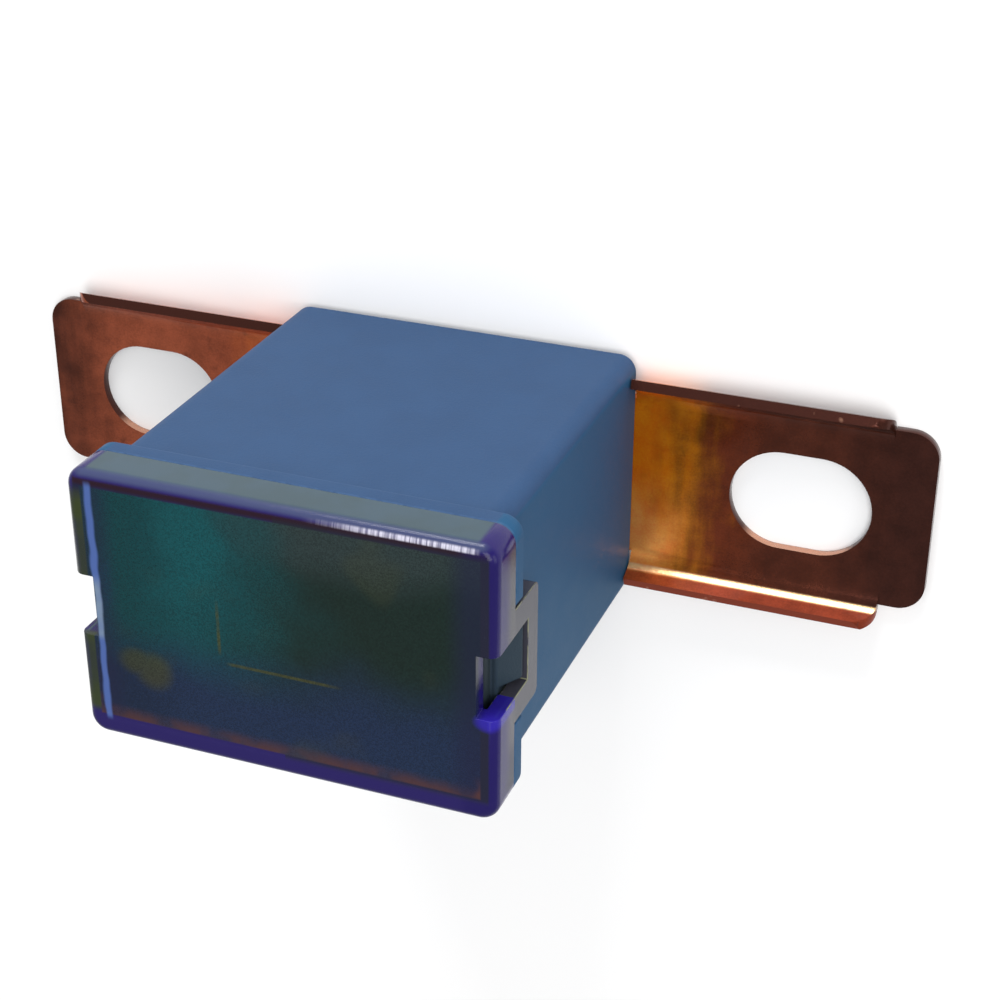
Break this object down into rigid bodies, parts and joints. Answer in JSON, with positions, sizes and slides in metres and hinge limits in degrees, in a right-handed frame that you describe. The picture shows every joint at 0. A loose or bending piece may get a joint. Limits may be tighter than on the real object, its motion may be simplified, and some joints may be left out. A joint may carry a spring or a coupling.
{
  "type": "bolt-in fuse link",
  "caption": "Box-shaped high-current fuse with a clear window cover, held by two latches, and two channelled, slotted lugs that bolt down onto studs.",
  "frame": {"origin": "midway between the two studs, on the plane of the bolt seats", "axes": "+Z out of the window, along the studs; +X from the left lug to the right lug; +Y across the lugs"},
  "size_m": [0.06, 0.0168, 0.0268],
  "materials": {
    "housing_plastic": "fine satin moulding, slate blue",
    "cover_plastic": "clear violet-blue tint, glossy",
    "terminal_metal": "tarnished copper alloy sheet",
    "element_metal": "bright copper alloy strip",
    "pellet_metal": "dull cast tin"
  },
  "bodies": {
    "root": {"housing": "housing_plastic", "window_cover": "cover_plastic", "terminal_left": "terminal_metal", "terminal_right": "terminal_metal", "fuse_element": "element_metal", "tin_pellet": "pellet_metal"}
  },
  "joints": []
}
